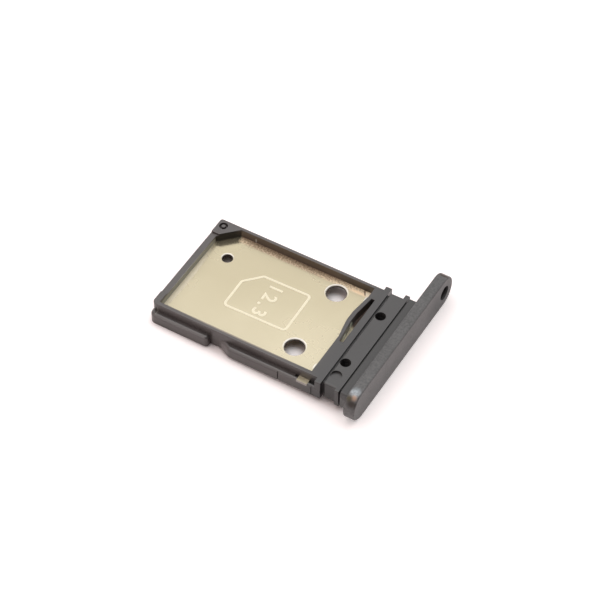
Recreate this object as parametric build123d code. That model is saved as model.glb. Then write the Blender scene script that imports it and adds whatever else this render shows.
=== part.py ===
from build123d import *
import os

# Card tray with two nano card pockets, back to back, in millimetres.
# While it is drawn, X runs from the tip to the head with 0 at the tip end of the pockets,
# Y runs across with 0 on the pockets' centre line, and Z is up with 0 in the middle of the plate.

# Card that each pocket takes
card_length = 12.30
card_width = 8.80
card_thickness = 0.67
card_cut = 1.65
card_play = 0.15
card_headroom = 0.03
cut_play = 0.33

# Plate between the pockets
plate_thickness = 0.20
plate_embed = 0.12
small_hole_diameter = 0.80
small_hole_from_tip = 1.60
small_hole_from_back = 2.36
large_hole_diameter = 1.52
large_hole_from_head = 2.44
large_hole_from_back = 1.265
large_hole_from_front = 1.77
hole_edge_radius = 0.10
tab_length = 0.84
tab_past_pocket = 0.02

# Walls round the pockets
tip_wall = 0.50
back_wall = 0.25
front_wall = 0.32
head_wall = 1.10
tip_wall_drop = 0.15
back_land = 1.19
front_land = 0.90
front_tip_radius = 0.35
back_tip_radius = 0.20
wall_edge_radius = 0.05

# Moulding mark on the corner land
mark_diameter = 0.66
mark_stub_diameter = 0.30
mark_depth = 0.25
mark_from_tip = 0.53
mark_from_back = 0.58

# Spring arm at the head end of each pocket
spring_room = 0.32
arm_bulge = 0.27
arm_thickness = 0.35
arm_root_from_back = 0.80
arm_far_ramp = 1.90
arm_crown = 0.90
arm_near_ramp = 1.60
arm_bend_radius = 1.20
slot_past_pocket = 0.565
slot_end_width = 0.26
slot_far_inset = 0.17
slot_near_run = 0.38
slot_end_radius = 0.06

# Guide rails on the lower half
front_rail = 0.475
back_rail = 0.385
rail_edge_radius = 0.24
rail_corner_radius = 0.50
rail_relief = 0.03
relief_from_head = 2.37
notch_from_tip = 4.42
notch_floor = 0.80
notch_ramp = 0.98
notch_radius = 0.26
ramp_radius = 0.60
seam_from_pocket = 0.35
seam_width = 0.07
seam_depth = 0.06
window_before_tab = 0.25
window_lip = 0.22

# Flange, neck and stop rib
flange_thickness = 0.45
flange_setback = 0.05
flange_edge_radius = 0.08
groove_width = 0.14
groove_depth = 0.20
neck_length = 1.33
neck_front_reach = 0.205
neck_edge_radius = 0.14
rib_thickness = 0.32
pin_hole_diameter = 0.79
pin_hole_pitch = 5.00
pin_hole_from_flange = 0.58
dimple_diameter = 0.85
dimple_depth = 0.18
dimple_from_front = 1.04

# Head, its plinth and the tongue that the neck is moulded round
plinth_length = 0.65
plinth_back_setback = 0.14
plinth_corner_radius = 0.20
head_depth = 0.88
head_height = 2.53
head_front_reach = 0.72
head_back_reach = 3.42
head_front_edge = 0.12
head_rear_edge = 0.10
eject_hole_diameter = 1.15
tongue_thickness = 0.60
tongue_side_cover = 1.20
tongue_end_cover = 0.20

# Places that follow from the sizes above
pocket_length = card_length + spring_room
pocket_width = card_width + card_play
pocket_depth = card_thickness + card_headroom
pocket_half = pocket_width / 2
gusset_leg = card_cut + card_play / 2 - cut_play
plate_top = plate_thickness / 2
frame_top = plate_top + pocket_depth
tip_x = -tip_wall
front_y = -pocket_half - front_wall
back_y = pocket_half + back_wall
front_rail_y = front_y - front_rail
back_rail_y = back_y + back_rail
relieved_rail_y = front_rail_y + rail_relief
front_flange_y = front_rail_y + flange_setback
tab_end_x = pocket_length + tab_past_pocket
tab_start_x = tab_end_x - tab_length
flange_x = pocket_length + head_wall
flange_start_x = flange_x - flange_thickness
neck_x = flange_x + groove_width
neck_end_x = neck_x + neck_length
plinth_x = neck_end_x + groove_width
head_x = plinth_x + plinth_length
face_x = head_x + head_depth
neck_front_y = front_y - neck_front_reach
neck_middle_y = (neck_front_y + back_y) / 2
plinth_back_y = back_rail_y - plinth_back_setback
head_near_y = front_rail_y - head_front_reach
head_far_y = back_rail_y + head_back_reach
eject_hole_y = head_far_y - head_height / 2
pin_x = flange_x + pin_hole_from_flange
cut_past = 1.0

# The finished tray stands on the middle of the underside of its box
place = Pos(-(tip_x + face_x) / 2, -(head_near_y + head_far_y) / 2, head_height / 2)


def block(x0, x1, y0, y1, z0, z1):
    middle = Pos((x0 + x1) / 2, (y0 + y1) / 2, (z0 + z1) / 2)
    return middle * Box(x1 - x0, y1 - y0, z1 - z0)


def plan(points):
    return make_face(Polyline(*points, close=True))


def rounded(sketch, corners, radius):
    picked = [sketch.vertices().sort_by_distance((x, y, 0))[0] for x, y in corners]
    return fillet(picked, radius)


def raised(sketch, z0, z1):
    return extrude(Pos(0, 0, z0) * sketch, z1 - z0)


def upright_pin(x, y, diameter, z0, z1):
    return Pos(x, y, (z0 + z1) / 2) * Cylinder(diameter / 2, z1 - z0)


def pin_hole_places():
    return [(pin_x, neck_middle_y + side * pin_hole_pitch / 2) for side in (-1, 1)]


def arm_stations():
    # Y of the arm's far root, both ends of its crown and its near root
    far_root = pocket_half - arm_root_from_back
    crown_far = far_root - arm_far_ramp
    crown_near = crown_far - arm_crown
    return far_root, crown_far, crown_near, crown_near - arm_near_ramp


def pocket_opening():
    far_root, crown_far, crown_near, near_root = arm_stations()
    crown_x = pocket_length - arm_bulge
    bends = [(crown_x, crown_far), (crown_x, crown_near)]
    outline = plan([
        (0, -pocket_half),
        (0, pocket_half - gusset_leg),
        (gusset_leg, pocket_half),
        (pocket_length, pocket_half),
        (pocket_length, far_root),
        *bends,
        (pocket_length, near_root),
        (pocket_length, -pocket_half),
    ])
    return rounded(outline, bends, arm_bend_radius)


def slot_opening():
    # The space behind the arm: straight towards the head, and along the arm's back
    far_root, crown_far, crown_near, near_root = arm_stations()
    far_y = far_root - slot_far_inset
    near_y = near_root - slot_near_run
    edge_x = pocket_length + slot_past_pocket
    back_x = pocket_length - arm_bulge + arm_thickness
    ends = [
        (edge_x - slot_end_width, far_y),
        (edge_x, far_y),
        (edge_x, near_y),
        (edge_x - slot_end_width, near_y),
    ]
    bends = [(back_x, crown_near), (back_x, crown_far)]
    outline = rounded(plan([*ends, *bends]), bends, arm_bend_radius)
    return rounded(outline, ends, slot_end_radius)


def pocket_cut():
    # All that is cut away above the plate for one card
    openings = raised(pocket_opening(), plate_top, frame_top + cut_past)
    openings += raised(slot_opening(), plate_top, frame_top + cut_past)
    lowered_wall = block(
        tip_x - cut_past, gusset_leg / 2,
        -pocket_half + front_land, pocket_half - back_land,
        frame_top - tip_wall_drop, frame_top + cut_past,
    )
    return openings + lowered_wall


def corner_mark():
    x = tip_x + mark_from_tip
    y = back_y - mark_from_back
    ring = upright_pin(x, y, mark_diameter, frame_top - mark_depth, frame_top + cut_past)
    return ring - upright_pin(x, y, mark_stub_diameter, frame_top - mark_depth, frame_top + cut_past)


def upper_walls():
    # The walls stand in the rails, which make the rest of the lower half
    corners = [(tip_x, front_y), (tip_x, back_y)]
    outline = plan([*corners, (flange_x, back_y), (flange_x, front_y)])
    outline = rounded(outline, corners[:1], front_tip_radius)
    outline = rounded(outline, corners[1:], back_tip_radius)
    walls = raised(outline, -frame_top / 2, frame_top)
    return fillet(walls.faces().sort_by(Axis.Z)[-1].edges(), wall_edge_radius)


def front_rail_cut(x0, x1, depth_y):
    return block(x0, x1, front_rail_y - cut_past, depth_y, -frame_top - cut_past, plate_top + cut_past)


def guide_rails():
    # The wider lower half, up to the plate's top, with the detent notch in the front rail
    relief_x = pocket_length - relief_from_head
    notch_end_x = notch_from_tip + notch_floor
    ramp_end_x = notch_end_x + notch_ramp
    tip_corners = [(tip_x, front_rail_y), (tip_x, back_rail_y)]
    notch_corners = [
        (notch_from_tip, front_rail_y),
        (notch_end_x, front_y),
        (ramp_end_x, front_rail_y),
    ]
    outline = plan([
        tip_corners[1],
        tip_corners[0],
        notch_corners[0],
        (notch_from_tip, front_y),
        *notch_corners[1:],
        (flange_x, front_rail_y),
        (flange_x, back_rail_y),
    ])
    outline = rounded(outline, tip_corners, rail_corner_radius)
    outline = rounded(outline, notch_corners[:1], notch_radius)
    outline = rounded(outline, notch_corners[1:], ramp_radius)
    rails = raised(outline, -frame_top, plate_top)
    rails = fillet(rails.faces().sort_by(Axis.Z)[-1].edges(), rail_edge_radius)
    # Towards the head the front rail is relieved, from one mould seam on, and a second seam crosses it
    rails -= front_rail_cut(relief_x, flange_x, relieved_rail_y)
    for seam_x in (relief_x, pocket_length + seam_from_pocket):
        rails -= front_rail_cut(seam_x, seam_x + seam_width, relieved_rail_y + seam_depth)
    window = block(
        tab_start_x - window_before_tab, flange_start_x,
        relieved_rail_y + window_lip, front_y,
        -plate_top, plate_top + cut_past,
    )
    return rails - window


def rounded_collar(x0, x1, y0, y1, z_half):
    collar = block(x0, x1, y0, y1, -z_half, z_half)
    return fillet(collar.edges().filter_by(Axis.X), flange_edge_radius)


def neck():
    inner = block(
        flange_x, plinth_x,
        neck_front_y + groove_depth, back_y - groove_depth,
        -frame_top + groove_depth, frame_top - groove_depth,
    )
    middle = block(neck_x, neck_end_x, neck_front_y, back_y, -frame_top, frame_top)
    tip_side_edges = middle.faces().sort_by(Axis.X)[0].edges()
    middle = fillet(middle.edges().filter_by(Axis.X) + tip_side_edges, neck_edge_radius)
    rib = rounded_collar(neck_end_x - rib_thickness, neck_end_x, front_flange_y, back_rail_y, frame_top)
    dimple_y = neck_front_y + dimple_from_front
    dimple = upright_pin(pin_x, dimple_y, dimple_diameter, frame_top - dimple_depth, frame_top + cut_past)
    return inner + middle + rib - dimple


def plate_blank():
    edge = pocket_half + plate_embed
    head_end_x = pocket_length + slot_past_pocket + plate_embed
    sheet = block(-plate_embed, head_end_x, -edge, edge, -plate_top, plate_top)
    return sheet + block(tab_start_x, tab_end_x, relieved_rail_y, 0, -plate_top, plate_top)


def tongue():
    solid = block(
        neck_x + tongue_end_cover, plinth_x,
        neck_front_y + tongue_side_cover, back_y - tongue_side_cover,
        -tongue_thickness / 2, tongue_thickness / 2,
    )
    for x, y in pin_hole_places():
        solid -= upright_pin(x, y, pin_hole_diameter, -frame_top, frame_top)
    return solid


def base_plate():
    sheet = plate_blank()
    holes = [
        (small_hole_from_tip, pocket_half - small_hole_from_back, small_hole_diameter),
        (pocket_length - large_hole_from_head, pocket_half - large_hole_from_back, large_hole_diameter),
        (pocket_length - large_hole_from_head, large_hole_from_front - pocket_half, large_hole_diameter),
    ]
    for x, y, diameter in holes:
        sheet -= upright_pin(x, y, diameter, -frame_top, frame_top)
    # The punch rolls the upper edge of each hole
    rims = sheet.faces().sort_by(Axis.Z)[-1].inner_wires()
    return fillet([edge for rim in rims for edge in rim.edges()], hole_edge_radius)


def pocket_rim(level_edges):
    # Of the edges on the top or the underside, those round the pocket and the slot
    along = level_edges.filter_by_position(Axis.X, -tip_wall / 4, flange_start_x)
    return along.filter_by_position(Axis.Y, -pocket_half - front_wall / 2, pocket_half + back_wall / 2)


def carrier_frame():
    flange = rounded_collar(flange_start_x, flange_x, front_flange_y, back_rail_y, frame_top)
    frame = upper_walls() + guide_rails() + flange + neck()
    # The underside takes its card turned over about the tray's length
    frame -= pocket_cut()
    frame -= Rot(180, 0, 0) * pocket_cut()
    levels = frame.edges().group_by(Axis.Z)
    frame = fillet(pocket_rim(levels[-1]) + pocket_rim(levels[0]), wall_edge_radius)
    frame -= corner_mark()
    for x, y in pin_hole_places():
        frame -= upright_pin(x, y, pin_hole_diameter, -frame_top - cut_past, frame_top + cut_past)
    return frame - plate_blank() - tongue()


def head():
    bar_plane = Plane.YZ.offset(head_x)
    bar_middle = Pos((head_near_y + head_far_y) / 2, 0)
    bar = extrude(bar_plane * bar_middle * SlotOverall(head_far_y - head_near_y, head_height), head_depth)
    bar = fillet(bar.faces().sort_by(Axis.X)[-1].edges(), head_front_edge)
    bar = fillet(bar.faces().sort_by(Axis.X)[0].edges(), head_rear_edge)
    plinth_plane = Plane.YZ.offset(plinth_x)
    plinth_middle = Pos((front_flange_y + plinth_back_y) / 2, 0)
    plinth_face = RectangleRounded(plinth_back_y - front_flange_y, 2 * frame_top, plinth_corner_radius)
    plinth = extrude(plinth_plane * plinth_middle * plinth_face, plinth_length)
    eject_hole = Plane.YZ.offset(head_x - cut_past) * Pos(eject_hole_y, 0) * Circle(eject_hole_diameter / 2)
    return bar + plinth + tongue() - extrude(eject_hole, head_depth + 2 * cut_past)


os.makedirs("parts", exist_ok=True)
for make in (carrier_frame, base_plate, head):
    export_step(place * make(), "parts/" + make.__name__ + ".step")
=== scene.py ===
import bpy
import bmesh
import math
from mathutils import Matrix, Vector


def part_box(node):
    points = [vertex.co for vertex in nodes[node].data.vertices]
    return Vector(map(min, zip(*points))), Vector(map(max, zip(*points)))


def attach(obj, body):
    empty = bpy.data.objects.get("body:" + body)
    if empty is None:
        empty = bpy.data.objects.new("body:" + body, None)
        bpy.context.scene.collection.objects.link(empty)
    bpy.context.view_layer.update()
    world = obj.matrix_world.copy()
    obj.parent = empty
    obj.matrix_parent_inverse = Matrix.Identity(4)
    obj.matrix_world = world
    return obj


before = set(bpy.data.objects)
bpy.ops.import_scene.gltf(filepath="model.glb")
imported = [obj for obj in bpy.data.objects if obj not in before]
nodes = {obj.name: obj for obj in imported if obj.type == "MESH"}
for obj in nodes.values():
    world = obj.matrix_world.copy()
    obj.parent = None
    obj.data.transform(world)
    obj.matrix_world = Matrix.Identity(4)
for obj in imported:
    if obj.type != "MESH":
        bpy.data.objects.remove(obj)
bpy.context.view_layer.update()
scene = bpy.context.scene
mm = 0.001
print("tray loaded:", ", ".join(sorted(nodes)))


# Small helpers for node trees

toneSpread = (0.35, 0.65)    # the part of a noise's run that goes from the dark tone to the light one
glossSpread = (0.3, 0.7)     # the same for gloss and for slow changes of tone


def startMaterial(name):
    material = bpy.data.materials.new(name)
    material.use_nodes = True
    tree = material.node_tree
    shader = tree.nodes["Principled BSDF"]
    coords = tree.nodes.new("ShaderNodeTexCoord")
    return material, tree, shader, coords.outputs["Object"]


def addNoise(tree, coords, scale, detail=2.0, roughness=0.5):
    noise = tree.nodes.new("ShaderNodeTexNoise")
    noise.inputs["Scale"].default_value = scale
    noise.inputs["Detail"].default_value = detail
    noise.inputs["Roughness"].default_value = roughness
    tree.links.new(coords, noise.inputs["Vector"])
    return noise.outputs["Fac"]


def addRamp(tree, factor, stops):
    ramp = tree.nodes.new("ShaderNodeValToRGB")
    elements = ramp.color_ramp.elements
    elements[0].position, elements[0].color = stops[0][0], (*stops[0][1], 1)
    elements[1].position, elements[1].color = stops[-1][0], (*stops[-1][1], 1)
    for place, colour in stops[1:-1]:
        elements.new(place).color = (*colour, 1)
    tree.links.new(factor, ramp.inputs["Fac"])
    return ramp.outputs["Color"]


def addRange(tree, value, low, high, newLow, newHigh, smooth=True):
    spread = tree.nodes.new("ShaderNodeMapRange")
    spread.interpolation_type = "SMOOTHSTEP" if smooth else "LINEAR"
    for name, number in zip(("From Min", "From Max", "To Min", "To Max"), (low, high, newLow, newHigh)):
        spread.inputs[name].default_value = number
    tree.links.new(value, spread.inputs["Value"])
    return spread.outputs["Result"]


def addMath(tree, kind, a, b):
    step = tree.nodes.new("ShaderNodeMath")
    step.operation = kind
    for socket, value in zip(step.inputs, (a, b)):
        if isinstance(value, (int, float)):
            socket.default_value = value
        else:
            tree.links.new(value, socket)
    return step.outputs["Value"]


def addBlend(tree, first, second, share):
    # two values in one, with the given share of the second
    first = addMath(tree, "MULTIPLY", first, 1 - share)
    return addMath(tree, "ADD", first, addMath(tree, "MULTIPLY", second, share))


def addTones(tree, value, look):
    low, high = toneSpread
    return addRamp(tree, value, [(low, look["darkTone"]), (high, look["lightTone"])])


def addMix(tree, factor, base, top):
    mix = tree.nodes.new("ShaderNodeMix")
    mix.data_type = "RGBA"
    tree.links.new(factor, mix.inputs["Factor"])
    colourSockets = [s for s in mix.inputs if s.type == "RGBA"]
    for socket, value in zip(colourSockets, (base, top)):
        if isinstance(value, tuple):
            socket.default_value = (*value, 1)
        else:
            tree.links.new(value, socket)
    return [s for s in mix.outputs if s.type == "RGBA"][0]


def addVectorMath(tree, kind, vector, other):
    step = tree.nodes.new("ShaderNodeVectorMath")
    step.operation = kind
    tree.links.new(vector, step.inputs[0])
    step.inputs[1].default_value = other
    return step.outputs["Value" if kind in ("DOT_PRODUCT", "DISTANCE") else "Vector"]


def addSpot(tree, coords, spot):
    # 1 inside an oval patch about a point of the tray, 0 outside; soft is the blurred share of its radius
    turned = tree.nodes.new("ShaderNodeVectorRotate")
    turned.rotation_type = "Z_AXIS"
    turned.inputs["Center"].default_value = [v * mm for v in spot["place"]]
    turned.inputs["Angle"].default_value = math.radians(spot.get("turn", 0))
    tree.links.new(coords, turned.inputs["Vector"])
    away = addVectorMath(tree, "SUBTRACT", turned.outputs["Vector"], [v * mm for v in spot["place"]])
    away = addVectorMath(tree, "DIVIDE", away, [v * mm for v in spot["radii"]])
    away = addVectorMath(tree, "DISTANCE", away, (0, 0, 0))
    return addRange(tree, away, 1 - spot["soft"], 1 + spot["soft"], 1.0, 0.0)


def addMarksAndPaintedLight(tree, coords, colour, marksAndPaintedLight):
    for mark in marksAndPaintedLight:
        colour = addMix(tree, addSpot(tree, coords, mark), colour, mark["tone"])
    return colour


def addBand(tree, value, span, soft):
    # 1 between the two ends of the span, 0 outside, in mm
    start = addRange(tree, value, (span[0] - soft) * mm, (span[0] + soft) * mm, 0, 1)
    end = addRange(tree, value, (span[1] - soft) * mm, (span[1] + soft) * mm, 1, 0)
    return addMath(tree, "MULTIPLY", start, end)


def splitCoords(tree, coords):
    split = tree.nodes.new("ShaderNodeSeparateXYZ")
    tree.links.new(coords, split.inputs["Vector"])
    return split.outputs["X"], split.outputs["Y"], split.outputs["Z"]


def addBump(tree, shader, height, strength, distance):
    bump = tree.nodes.new("ShaderNodeBump")
    bump.inputs["Strength"].default_value = strength
    bump.inputs["Distance"].default_value = distance
    tree.links.new(height, bump.inputs["Height"])
    tree.links.new(bump.outputs["Normal"], shader.inputs["Normal"])


# Moulded frame: dark grey plastic, semi-gloss, with a fine spark-eroded grain

framePlastic = {
    "darkTone": (0.051, 0.043, 0.041),
    "lightTone": (0.067, 0.056, 0.053),
    "ior": 1.78,
    "grainScale": 9000.0,
    "cloudScale": 900.0,
    "glossLow": 0.28,
    "glossHigh": 0.36,
    "grainShare": 0.4,           # of the tone, the rest is cloud
    "grainDepth": 0.0000025,
    "grainStrength": 0.35,
    "headEnd": (3.2, 5.2),       # mm, where the moulding turns darker and less shiny towards the head
    "headEndTone": (0.042, 0.040, 0.040),
    "sideShine": 0.30, "topShine": 0.50,
    "shineTurn": (0.3, 0.8),     # upward slope where the side's shine ends and the top's is full; the weaker shine on steep sides is painted shade
    "headEndShine": 0.80,        # share of the shine left at the head end
    "marksAndPaintedLight": [
        # painted reflected light on the inner face of the tip wall, painted shade on the inner face of the
        # corner land
        {"place": (-8.18, -2.00, 1.50), "radii": (0.06, 4.6, 0.44), "soft": 0.2, "tone": (0.26, 0.255, 0.215)},
        {"place": (-7.48, 2.51, 1.60), "radii": (1.15, 0.07, 0.50), "soft": 0.15, "turn": -45,
         "tone": (0.016, 0.013, 0.011)},
        # painted highlight along the inner edge of the front wall, painted reflected warm light on the inner
        # face of the back wall with painted shade at its end, and a nick
        {"place": (-2.00, -5.74, 2.06), "radii": (4.6, 0.14, 0.10), "soft": 0.35,
         "tone": (0.225, 0.188, 0.148)},
        {"place": (-1.40, 3.205, 1.60), "radii": (6.6, 0.05, 0.60), "soft": 0.2, "tone": (0.098, 0.070, 0.050)},
        {"place": (3.30, 3.205, 1.55), "radii": (1.30, 0.05, 0.45), "soft": 0.6, "tone": (0.040, 0.028, 0.016)},
        {"place": (-5.55, 3.205, 1.58), "radii": (0.06, 0.06, 0.18), "soft": 0.5, "tone": (0.42, 0.40, 0.36)},
        # painted highlights on the ramp and along the top edge of the tip rail
        {"place": (-2.48, -6.30, 0.70), "radii": (0.45, 0.35, 0.70), "soft": 0.5,
         "tone": (0.105, 0.090, 0.088)},
        {"place": (-6.00, -6.48, 1.25), "radii": (2.60, 0.12, 0.09), "soft": 0.5,
         "tone": (0.090, 0.080, 0.078)},
        # shaded recess at the near end of the neck
        {"place": (6.15, -6.27, 1.40), "radii": (0.46, 0.05, 0.80), "soft": 0.25,
         "tone": (0.018, 0.017, 0.017)},
        # painted shade on the far half and two painted highlights inside the spring slot
        {"place": (4.62, 1.00, 1.45), "radii": (0.30, 1.15, 0.48), "soft": 0.2, "tone": (0.042, 0.031, 0.024)},
        {"place": (4.53, -0.38, 1.65), "radii": (0.12, 0.22, 0.24), "soft": 0.4, "tone": (0.62, 0.66, 0.55)},
        {"place": (4.68, -1.65, 1.60), "radii": (0.16, 0.46, 0.22), "soft": 0.35, "tone": (0.72, 0.75, 0.63)},
    ],
}


def makeFramePlastic(look):
    material, tree, shader, coords = startMaterial("frameMoulding")
    clouds = addNoise(tree, coords, look["cloudScale"], 3.0)
    grain = addNoise(tree, coords, look["grainScale"], 2.0)
    colour = addTones(tree, addBlend(tree, clouds, grain, look["grainShare"]), look)
    start, end = look["headEnd"]
    headEnd = addRange(tree, splitCoords(tree, coords)[0], start * mm, end * mm, 0, 1)
    colour = addMix(tree, headEnd, colour, look["headEndTone"])
    tree.links.new(addMarksAndPaintedLight(tree, coords, colour, look["marksAndPaintedLight"]), shader.inputs["Base Color"])
    gloss = addRange(tree, clouds, *glossSpread, look["glossLow"], look["glossHigh"])
    tree.links.new(gloss, shader.inputs["Roughness"])
    shader.inputs["IOR"].default_value = look["ior"]
    up = addMath(tree, "ABSOLUTE", splitCoords(tree, coords.node.outputs["Normal"])[2], 0.0)
    shine = addRange(tree, up, *look["shineTurn"], look["sideShine"], look["topShine"])
    shine = addMath(tree, "MULTIPLY", shine, addRange(tree, headEnd, 0, 1, 1, look["headEndShine"], False))
    tree.links.new(shine, shader.inputs["Specular IOR Level"])
    addBump(tree, shader, grain, look["grainStrength"], look["grainDepth"])
    return material


# Plate: thin stamped sheet with a pale champagne satin finish

plateMetal = {
    "backTone": (0.588, 0.524, 0.361),
    "frontTone": (0.676, 0.610, 0.440),
    "toneWay": (0.35, -1.0, 0.0), "toneRun": (-1.6, 5.9),   # mm along the way, from back tone to front tone
    "cloudScale": 260.0,
    "cloudShare": 0.12,
    "glossLow": 0.24,
    "glossHigh": 0.28,
    "metallic": 0.55,
    # brighter polish at the corner land
    "shinyCorner": {"place": (-7.20, 2.25, 1.365), "radii": (1.15, 1.15, 1.0), "soft": 0.35},
    "cornerGloss": 0.15, "cornerMetallic": 0.84,
    # matte grainy strip along the foot of the back wall, paler away from the wall and towards the head
    "stripX": (-6.75, 4.4), "stripY": (2.65, 3.5), "stripSoft": 0.12,
    "stripGrain": 8000.0, "stripGrainSpread": (0.36, 0.64), "stripGrainShare": 0.45,
    "stripFade": (3.12, 2.70), "stripFadeShare": 0.40,
    "stripPale": (-0.5, 4.0), "stripPaleShare": 0.65,
    "stripTip": (-5.4, -6.5), "stripTipShare": 0.20,
    "stripTones": [(0.0, (0.20, 0.145, 0.095)), (0.5, (0.42, 0.315, 0.212)), (1.0, (0.90, 0.745, 0.52))],
    # rolled edges of the punched holes, with a painted highlight, and painted shade on their walls: centre,
    # radius and the edge's width, mm
    "rims": [((-6.58, 0.845), 0.40, 0.08), ((2.00, 1.94), 0.76, 0.12), ((2.00, -3.975), 0.76, 0.12)],
    "rimInside": 0.10, "rimSoft": 0.03, "rimFoot": (1.285, 1.335), "rimPaintedHighlight": (1.0, 0.97, 0.89),
    # the painted highlight is brightest on the far side, run in radii
    "rimFar": (-0.45, 0.89, 0.0), "rimFarRun": (-0.5, 0.8), "rimNear": 0.12,
    "rimWallPaintedShade": (0.075, 0.060, 0.048), "rimWallReach": (0.06, 0.04),
    "marksAndPaintedLight": [
        # painted reflected light along the foot of the tip wall, painted highlights along the foot of the head
        # wall, warm end of the strip, painted highlight in the corner
        {"place": (-8.18, -2.60, 1.365), "radii": (0.40, 3.70, 0.6), "soft": 0.25, "tone": (0.76, 0.69, 0.52)},
        {"place": (4.09, 2.50, 1.365), "radii": (0.05, 0.30, 0.2), "soft": 0.5, "tone": (1.0, 0.97, 0.88)},
        {"place": (4.09, -4.78, 1.365), "radii": (0.05, 0.26, 0.2), "soft": 0.5, "tone": (1.0, 0.97, 0.88)},
        {"place": (3.35, 2.80, 1.365), "radii": (0.55, 0.12, 0.2), "soft": 0.6, "tone": (1.0, 0.76, 0.51)},
        {"place": (4.02, 2.98, 1.365), "radii": (0.22, 0.20, 0.2), "soft": 0.5, "tone": (1.0, 0.87, 0.66)},
        # scuff across the corner
        {"place": (3.77, 3.00, 1.365), "radii": (0.045, 0.30, 0.05), "soft": 0.45, "turn": -32,
         "tone": (0.10, 0.05, 0.04)},
        # shaded sheet under the far half of the spring slot, sheared end of the tab
        {"place": (4.72, 0.95, 1.365), "radii": (0.45, 1.30, 0.1), "soft": 0.15, "tone": (0.085, 0.060, 0.045)},
        {"place": (4.02, -6.51, 1.27), "radii": (0.70, 0.03, 0.30), "soft": 0.3, "tone": (0.33, 0.305, 0.28)},
    ],
}


def makePlateMetal(look):
    material, tree, shader, coords = startMaterial("plateChampagne")
    clouds = addNoise(tree, coords, look["cloudScale"], 4.0)
    along = addVectorMath(tree, "DOT_PRODUCT", coords, look["toneWay"])
    along = addRange(tree, along, look["toneRun"][0] * mm, look["toneRun"][1] * mm, 0, 1, False)
    share = look["cloudShare"]
    tone = addMath(tree, "ADD", along, addRange(tree, clouds, *glossSpread, -share, share))
    colour = addRamp(tree, tone, [(0.0, look["backTone"]), (1.0, look["frontTone"])])
    x, y, z = splitCoords(tree, coords)
    matte = addMath(tree, "MULTIPLY", addBand(tree, x, look["stripX"], look["stripSoft"]),
                    addBand(tree, y, look["stripY"], look["stripSoft"]))
    grain = addNoise(tree, coords, look["stripGrain"])
    pale = addRange(tree, grain, *look["stripGrainSpread"], 0, look["stripGrainShare"])
    for value, name in ((y, "stripFade"), (x, "stripPale"), (x, "stripTip")):
        start, end = look[name]
        more = addRange(tree, value, start * mm, end * mm, 0, look[name + "Share"], False)
        pale = addMath(tree, "ADD", pale, more)
    colour = addMix(tree, matte, colour, addRamp(tree, pale, look["stripTones"]))
    spots = [(addSpot(tree, coords, mark), mark["tone"]) for mark in look["marksAndPaintedLight"]]
    upper = addRange(tree, z, look["rimFoot"][0] * mm, look["rimFoot"][1] * mm, 0, 1)
    # painted shade on the wall of each hole and a painted highlight on its rolled edge, brightest on the far
    # side
    for centre, radius, width in look["rims"]:
        away = addVectorMath(tree, "MULTIPLY", coords, (1, 1, 0))
        away = addVectorMath(tree, "DISTANCE", away, (centre[0] * mm, centre[1] * mm, 0))
        start, end = ((radius + v) * mm for v in look["rimWallReach"])
        wall = addRange(tree, away, start, end, 0, 1)
        spots.append((addMath(tree, "MULTIPLY", wall, addRange(tree, upper, 0, 1, 1, 0)), look["rimWallPaintedShade"]))
        ring = addBand(tree, away, (radius - look["rimInside"], radius + width), look["rimSoft"])
        middle = look["rimFar"][0] * centre[0] + look["rimFar"][1] * centre[1]
        far = addVectorMath(tree, "DOT_PRODUCT", coords, look["rimFar"])
        start, end = ((middle + v * radius) * mm for v in look["rimFarRun"])
        far = addRange(tree, far, start, end, look["rimNear"], 1)
        spots.append((addMath(tree, "MULTIPLY", addMath(tree, "MULTIPLY", ring, far), upper), look["rimPaintedHighlight"]))
    for spot, tone in spots:
        colour = addMix(tree, spot, colour, tone)
        matte = addMath(tree, "MAXIMUM", matte, spot)
    tree.links.new(colour, shader.inputs["Base Color"])
    corner = addSpot(tree, coords, look["shinyCorner"])
    gloss = addRange(tree, clouds, *glossSpread, look["glossLow"], look["glossHigh"])
    polish = addRange(tree, corner, 0, 1, 1, look["cornerGloss"] / look["glossLow"], False)
    gloss = addMath(tree, "MULTIPLY", gloss, polish)
    tree.links.new(gloss, shader.inputs["Roughness"])
    metallic = addRange(tree, corner, 0, 1, look["metallic"], look["cornerMetallic"], False)
    metallic = addMath(tree, "MULTIPLY", metallic, addRange(tree, matte, 0, 1, 1, 0, False))
    tree.links.new(metallic, shader.inputs["Metallic"])
    return material


# Head: blasted and anodised metal bar with a fine even speckle, and a painted glint with painted reflections
# and shade at the near end

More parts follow.
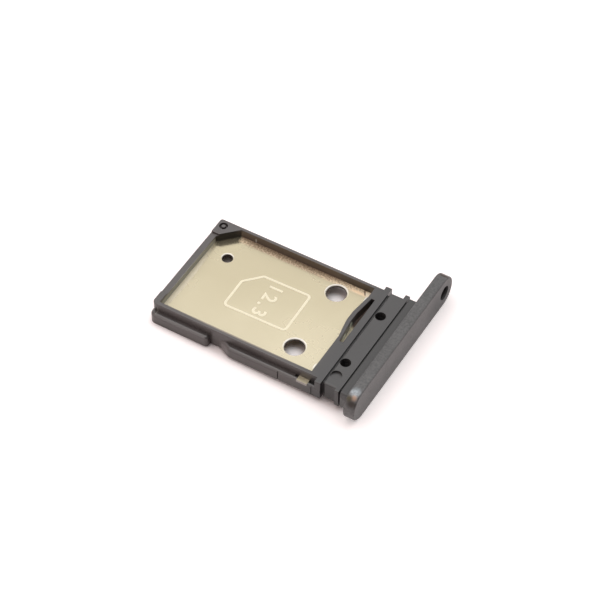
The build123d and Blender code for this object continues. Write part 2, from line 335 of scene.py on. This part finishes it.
headMetal = {
    "darkTone": (0.086, 0.085, 0.085),
    "lightTone": (0.134, 0.132, 0.132),
    "speckScale": 6000.0,
    "cloudScale": 700.0,
    "roughness": 0.46,
    "metallic": 0.5,
    "speckRoughness": 0.6,
    "speckDepth": 0.000006,
    "speckStrength": 0.4,
    "cloudShare": 0.3,           # of the tone, the rest is speckle
    # painted glint where the near end's top curves over
    "paintedGlint": {"place": (8.22, -6.22, 2.50), "radii": (0.34, 0.42, 0.30), "soft": 0.55},
    "paintedGlintTone": (0.255, 0.275, 0.290),
    "paintedGlintRoughness": 0.34,
    "paintedGlintSpecks": (0.35, 0.6), "paintedGlintLow": 0.6,   # how far the speckle breaks up the painted glint
    "marksAndPaintedLight": [
        # painted warm and olive reflections and painted shade below the glint at the near end
        {"place": (8.34, -6.62, 2.37), "radii": (0.18, 0.18, 0.20), "soft": 0.8, "tone": (0.31, 0.215, 0.16)},
        {"place": (8.03, -6.74, 2.29), "radii": (0.20, 0.20, 0.22), "soft": 0.8, "tone": (0.080, 0.070, 0.045)},
        {"place": (8.34, -6.97, 2.06), "radii": (0.34, 0.20, 0.30), "soft": 0.8, "tone": (0.035, 0.027, 0.023)},
        # brown streak across the far end
        {"place": (8.28, 6.55, 2.40), "radii": (0.40, 0.14, 0.20), "soft": 0.6, "tone": (0.030, 0.016, 0.008)},
        # painted shade: far end of the outer face a little darker
        {"place": (8.68, 5.60, 1.00), "radii": (0.10, 1.90, 1.30), "soft": 0.6, "tone": (0.070, 0.070, 0.071)},
        # darker plinth
        {"place": (7.47, -1.30, 2.00), "radii": (0.40, 14.0, 0.60), "soft": 0.1, "tone": (0.070, 0.069, 0.069)},
        # shaded wall of the hole
        {"place": (8.24, 5.995, 1.265), "radii": (0.42, 0.80, 0.80), "soft": 0.15,
         "tone": (0.020, 0.019, 0.018)},
    ],
}


def makeHeadMetal(look):
    material, tree, shader, coords = startMaterial("headBlasted")
    specks = addNoise(tree, coords, look["speckScale"], 3.0, look["speckRoughness"])
    clouds = addNoise(tree, coords, look["cloudScale"], 3.0)
    colour = addTones(tree, addBlend(tree, specks, clouds, look["cloudShare"]), look)
    # painted glint at the near end, broken up by the speckle
    broken = addRange(tree, specks, *look["paintedGlintSpecks"], look["paintedGlintLow"], 1)
    paintedGlint = addMath(tree, "MULTIPLY", addSpot(tree, coords, look["paintedGlint"]), broken)
    colour = addMix(tree, paintedGlint, colour, look["paintedGlintTone"])
    tree.links.new(addMarksAndPaintedLight(tree, coords, colour, look["marksAndPaintedLight"]), shader.inputs["Base Color"])
    gloss = addRange(tree, paintedGlint, 0, 1, look["roughness"], look["paintedGlintRoughness"], False)
    tree.links.new(gloss, shader.inputs["Roughness"])
    tree.links.new(addRange(tree, paintedGlint, 0, 1, look["metallic"], 1, False), shader.inputs["Metallic"])
    addBump(tree, shader, specks, look["speckStrength"], look["speckDepth"])
    return material


def dress(node, material):
    slots = nodes[node].data.materials
    slots.clear()
    slots.append(material)


dress("carrier_frame", makeFramePlastic(framePlastic))
dress("base_plate", makePlateMetal(plateMetal))
dress("head", makeHeadMetal(headMetal))
print("materials on the moulding, the plate and the head")


# Etched card outline and the card's length in plain figures on the plate

etching = {
    "left": -4.57, "right": 0.68, "front": -3.16, "back": 0.77,   # mm, in the tray's frame
    "cutCorner": 1.25,
    "cutRadius": 0.10,
    "cornerRadius": 0.36,
    "lineWidth": 0.185,
    "height": 0.010,
    "turn": 1.0,
    "figures": "12.3",
    "figureHeight": 1.06,
    "figureSpacing": 1.30,
    "figureWiden": 0.028,
    "figuresAt": (-1.97, -1.22),
    "capHeight": 0.7,            # of the font, as a share of its size
    "mergeGap": 0.0005,
    "tone": (0.84, 0.78, 0.60),
    "grainScale": 12000.0,
    "grainDark": 0.93,           # darkest share of the tone
    "roughness": 0.5,
    "metallic": 0.4,
}
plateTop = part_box("base_plate")[1][2]


def makeEtchMetal(look):
    material, tree, shader, coords = startMaterial("etchedLine")
    grain = addNoise(tree, coords, look["grainScale"])
    light = look["tone"]
    dark = tuple(look["grainDark"] * v for v in light)
    low, high = glossSpread
    tree.links.new(addRamp(tree, grain, [(low, dark), (high, light)]), shader.inputs["Base Color"])
    shader.inputs["Metallic"].default_value = look["metallic"]
    shader.inputs["Roughness"].default_value = look["roughness"]
    return material


def finishPiece(name, mesh, material):
    piece = bpy.data.objects.new(name, mesh)
    scene.collection.objects.link(piece)
    mesh.materials.clear()
    mesh.materials.append(material)
    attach(piece, "root")
    return piece


def raiseFlat(bm, height):
    # gives a flat sheet its thickness, upwards from the plate
    grown = bmesh.ops.extrude_face_region(bm, geom=bm.faces[:])
    lifted = [v for v in grown["geom"] if isinstance(v, bmesh.types.BMVert)]
    bmesh.ops.translate(bm, verts=lifted, vec=(0, 0, height))
    bmesh.ops.recalc_face_normals(bm, faces=bm.faces[:])


def widenFlat(bm, amount):
    # moves the rim of a flat sheet outwards
    bm.normal_update()
    ways = {v: Vector() for v in bm.verts}
    for edge in [e for e in bm.edges if e.is_boundary]:
        loop = edge.link_loops[0]
        along = loop.link_loop_next.vert.co - loop.vert.co
        for v in edge.verts:
            ways[v] += along.cross(loop.face.normal).normalized()
    for v, way in ways.items():
        v.co += way.normalized() * amount


def makeEtchOutline(look, material):
    bm = bmesh.new()
    cut = look["cutCorner"]
    corners = [
        (look["left"], look["front"]), (look["right"], look["front"]), (look["right"], look["back"]),
        (look["left"] + cut, look["back"]), (look["left"], look["back"] - cut),
    ]
    points = [bm.verts.new((x, y, 0)) for x, y in corners]
    bm.faces.new(points)
    for picked, radius in ((points[3:], look["cutRadius"]), (points[:3], look["cornerRadius"])):
        bmesh.ops.bevel(bm, geom=picked, affect="VERTICES", offset=radius, offset_type="OFFSET",
                        segments=6, profile=0.5, material=-1)
    bm.normal_update()
    rim = bmesh.ops.inset_region(bm, faces=bm.faces[:], thickness=look["lineWidth"], use_even_offset=True,
                                 use_boundary=True)
    inner = [f for f in bm.faces if f not in rim["faces"]]
    bmesh.ops.delete(bm, geom=inner, context="FACES")
    raiseFlat(bm, look["height"])
    middle = Vector(((look["left"] + look["right"]) / 2, (look["front"] + look["back"]) / 2, 0))
    turn = Matrix.Rotation(math.radians(look["turn"]), 4, "Z")
    place = Matrix.Translation((0, 0, plateTop)) @ Matrix.Scale(mm, 4)
    place = place @ Matrix.Translation(middle) @ turn @ Matrix.Translation(-middle)
    bmesh.ops.transform(bm, matrix=place, verts=bm.verts[:])
    mesh = bpy.data.meshes.new("etchOutline")
    bm.to_mesh(mesh)
    bm.free()
    return finishPiece("etchOutline", mesh, material)


def makeEtchFigures(look, material):
    curve = bpy.data.curves.new("etchFigures", "FONT")
    curve.body = look["figures"]
    curve.align_x, curve.align_y = "CENTER", "CENTER"
    curve.size = look["figureHeight"] / look["capHeight"]
    curve.space_character = look["figureSpacing"]
    curve.resolution_u = 6
    writer = bpy.data.objects.new("etchFiguresText", curve)
    scene.collection.objects.link(writer)
    mesh = bpy.data.meshes.new_from_object(writer)
    bpy.data.objects.remove(writer)
    bm = bmesh.new()
    bm.from_mesh(mesh)
    bmesh.ops.remove_doubles(bm, verts=bm.verts[:], dist=look["mergeGap"])
    widenFlat(bm, look["figureWiden"])
    raiseFlat(bm, look["height"])
    place = Matrix.Translation((0, 0, plateTop)) @ Matrix.Scale(mm, 4)
    place = place @ Matrix.Translation((*look["figuresAt"], 0))
    place = place @ Matrix.Rotation(math.radians(look["turn"] - 90), 4, "Z")
    bmesh.ops.transform(bm, matrix=place, verts=bm.verts[:])
    bmesh.ops.recalc_face_normals(bm, faces=bm.faces[:])
    bm.to_mesh(mesh)
    bm.free()
    return finishPiece("etchFigures", mesh, material)


etchMetal = makeEtchMetal(etching)
makeEtchOutline(etching, etchMetal)
makeEtchFigures(etching, etchMetal)
print("card outline and figures etched on the plate")


# Pale floor. The tray lies on its head and its tip, so the floor leans with it

floorLook = {
    "size": 1.2,
    "headLineX": 7.90 * mm,      # where the head touches
    "tipX": -8.68 * mm,
    "gap": 0.000002,
    "tone": (0.96, 0.875, 0.87),
    "glow": 0.30,                # lifts the paper to plain white as the camera sees it
    "underX": (-8.6, 7.3), "underY": (-6.65, 3.8), "underSoft": 0.5,   # mm, where the tray hides the paper, with a soft edge that paints a contact shadow around it
    # painted pools of light under the two large holes, where the glow stays on
    "paintedLightPools": [
        {"place": (1.80, 2.26, 0.0), "radii": (0.56, 0.44, 5.0), "soft": 0.7},
        {"place": (1.80, -3.66, 0.0), "radii": (0.56, 0.44, 5.0), "soft": 0.7},
    ],
}


def makeFloor(look):
    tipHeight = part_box("carrier_frame")[0][2]
    lean = math.atan2(tipHeight, look["headLineX"] - look["tipX"])
    bm = bmesh.new()
    bmesh.ops.create_grid(bm, x_segments=1, y_segments=1, size=look["size"] / 2)
    place = Matrix.Translation((look["headLineX"], 0, -look["gap"])) @ Matrix.Rotation(lean, 4, "Y")
    bmesh.ops.transform(bm, matrix=place, verts=bm.verts[:])
    mesh = bpy.data.meshes.new("studioFloor")
    bm.to_mesh(mesh)
    bm.free()
    floor = bpy.data.objects.new("studioFloor", mesh)
    scene.collection.objects.link(floor)
    material = bpy.data.materials.new("studioPaper")
    material.use_nodes = True
    tree = material.node_tree
    tree.nodes.clear()
    out = tree.nodes.new("ShaderNodeOutputMaterial")
    paper = tree.nodes.new("ShaderNodeBsdfDiffuse")
    paper.inputs["Color"].default_value = (*look["tone"], 1)
    glow = tree.nodes.new("ShaderNodeEmission")
    path = tree.nodes.new("ShaderNodeLightPath")
    seen = addMath(tree, "MAXIMUM", path.outputs["Is Camera Ray"], path.outputs["Is Glossy Ray"])
    seen = addMath(tree, "MAXIMUM", seen, path.outputs["Is Transmission Ray"])
    coords = tree.nodes.new("ShaderNodeTexCoord")
    x, y = splitCoords(tree, coords.outputs["Object"])[:2]
    # no glow where the tray hides the paper and in a painted contact shadow around it, but painted pools of
    # light under the two large holes
    hiddenAndPaintedShadow = addMath(tree, "MULTIPLY", addBand(tree, x, look["underX"], look["underSoft"]),
                     addBand(tree, y, look["underY"], look["underSoft"]))
    for pool in look["paintedLightPools"]:
        bare = addRange(tree, addSpot(tree, coords.outputs["Object"], pool), 0, 1, 1, 0, False)
        hiddenAndPaintedShadow = addMath(tree, "MULTIPLY", hiddenAndPaintedShadow, bare)
    lit = addRange(tree, hiddenAndPaintedShadow, 0, 1, look["glow"], 0, False)
    tree.links.new(addMath(tree, "MULTIPLY", seen, lit), glow.inputs["Strength"])
    both = tree.nodes.new("ShaderNodeAddShader")
    tree.links.new(paper.outputs["BSDF"], both.inputs[0])
    tree.links.new(glow.outputs["Emission"], both.inputs[1])
    tree.links.new(both.outputs["Shader"], out.inputs["Surface"])
    mesh.materials.append(material)
    return floor


makeFloor(floorLook)


# Soft studio light: a dim room that is white behind the tray, with a warm patch and a soft box in front
# on the left and a dark patch on the right, and one wide soft lamp overhead

studio = {
    "level": 1.15,
    "roomTone": (0.30, 0.24, 0.23),
    # patches of the room, each with the way to its middle and the cosines where it starts and is full
    "patches": [
        {"tone": (1.0, 0.99, 0.985), "way": (-0.10, 0.80, 0.59), "start": 0.0, "full": 0.62},
        {"tone": (0.87, 0.71, 0.66), "way": (-0.33, -0.57, 0.75), "start": 0.70, "full": 0.92},
        {"tone": (1.38, 1.30, 1.28), "way": (-0.33, -0.86, 0.38), "start": 0.87, "full": 0.97},
        {"tone": (0.026, 0.023, 0.023), "way": (0.50, -0.50, 0.707), "start": 0.62, "full": 0.90},
    ],
    "lampPlace": (0.0, -0.03, 0.60), "lampSize": 0.66, "lampPower": 1.62,
}


def addLamp(name, place, size, power):
    lamp = bpy.data.lights.new(name, "AREA")
    lamp.size = size
    lamp.energy = power
    holder = bpy.data.objects.new(name, lamp)
    holder.location = place
    holder.rotation_euler = (-Vector(place)).to_track_quat("-Z", "Y").to_euler()
    scene.collection.objects.link(holder)


def makeRoom(look):
    world = bpy.data.worlds.new("whiteRoom")
    scene.world = world
    world.use_nodes = True
    tree = world.node_tree
    coords = tree.nodes.new("ShaderNodeTexCoord")
    room = look["roomTone"]
    for patch in look["patches"]:
        near = addVectorMath(tree, "DOT_PRODUCT", coords.outputs["Generated"], patch["way"])
        room = addMix(tree, addRange(tree, near, patch["start"], patch["full"], 0, 1), room, patch["tone"])
    tree.links.new(room, tree.nodes["Background"].inputs["Color"])
    tree.nodes["Background"].inputs["Strength"].default_value = look["level"]


makeRoom(studio)
addLamp("softOverhead", studio["lampPlace"], studio["lampSize"], studio["lampPower"])
print("floor, room and lamp set")


# Camera at the photograph's angle

photoView = {
    "azimuth": 30.523, "elevation": 48.792, "roll": 0.092,   # degrees
    "aim": (-0.18, -1.27, 1.365),                            # mm
    "right": 0.877, "up": 0.745, "back": 181.237,            # mm from the aim, along the camera's own axes
    "lens": 151.3, "sensor": 36.0,
    "clip": (0.01, 10.0),
}


def makeCamera(look):
    data = bpy.data.cameras.new("photoCamera")
    data.lens = look["lens"]
    data.sensor_width = look["sensor"]
    data.clip_start, data.clip_end = look["clip"]
    camera = bpy.data.objects.new("photoCamera", data)
    scene.collection.objects.link(camera)
    level = Matrix.Rotation(math.radians(look["azimuth"]), 4, "Z")
    level = level @ Matrix.Rotation(math.radians(90 - look["elevation"]), 4, "X")
    offset = level @ Vector((look["right"], look["up"], look["back"]))
    turn = level @ Matrix.Rotation(math.radians(look["roll"]), 4, "Z")
    camera.matrix_world = Matrix.Translation((Vector(look["aim"]) + offset) * mm) @ turn
    scene.camera = camera


makeCamera(photoView)
scene.view_settings.view_transform = "Standard"
print("camera placed")
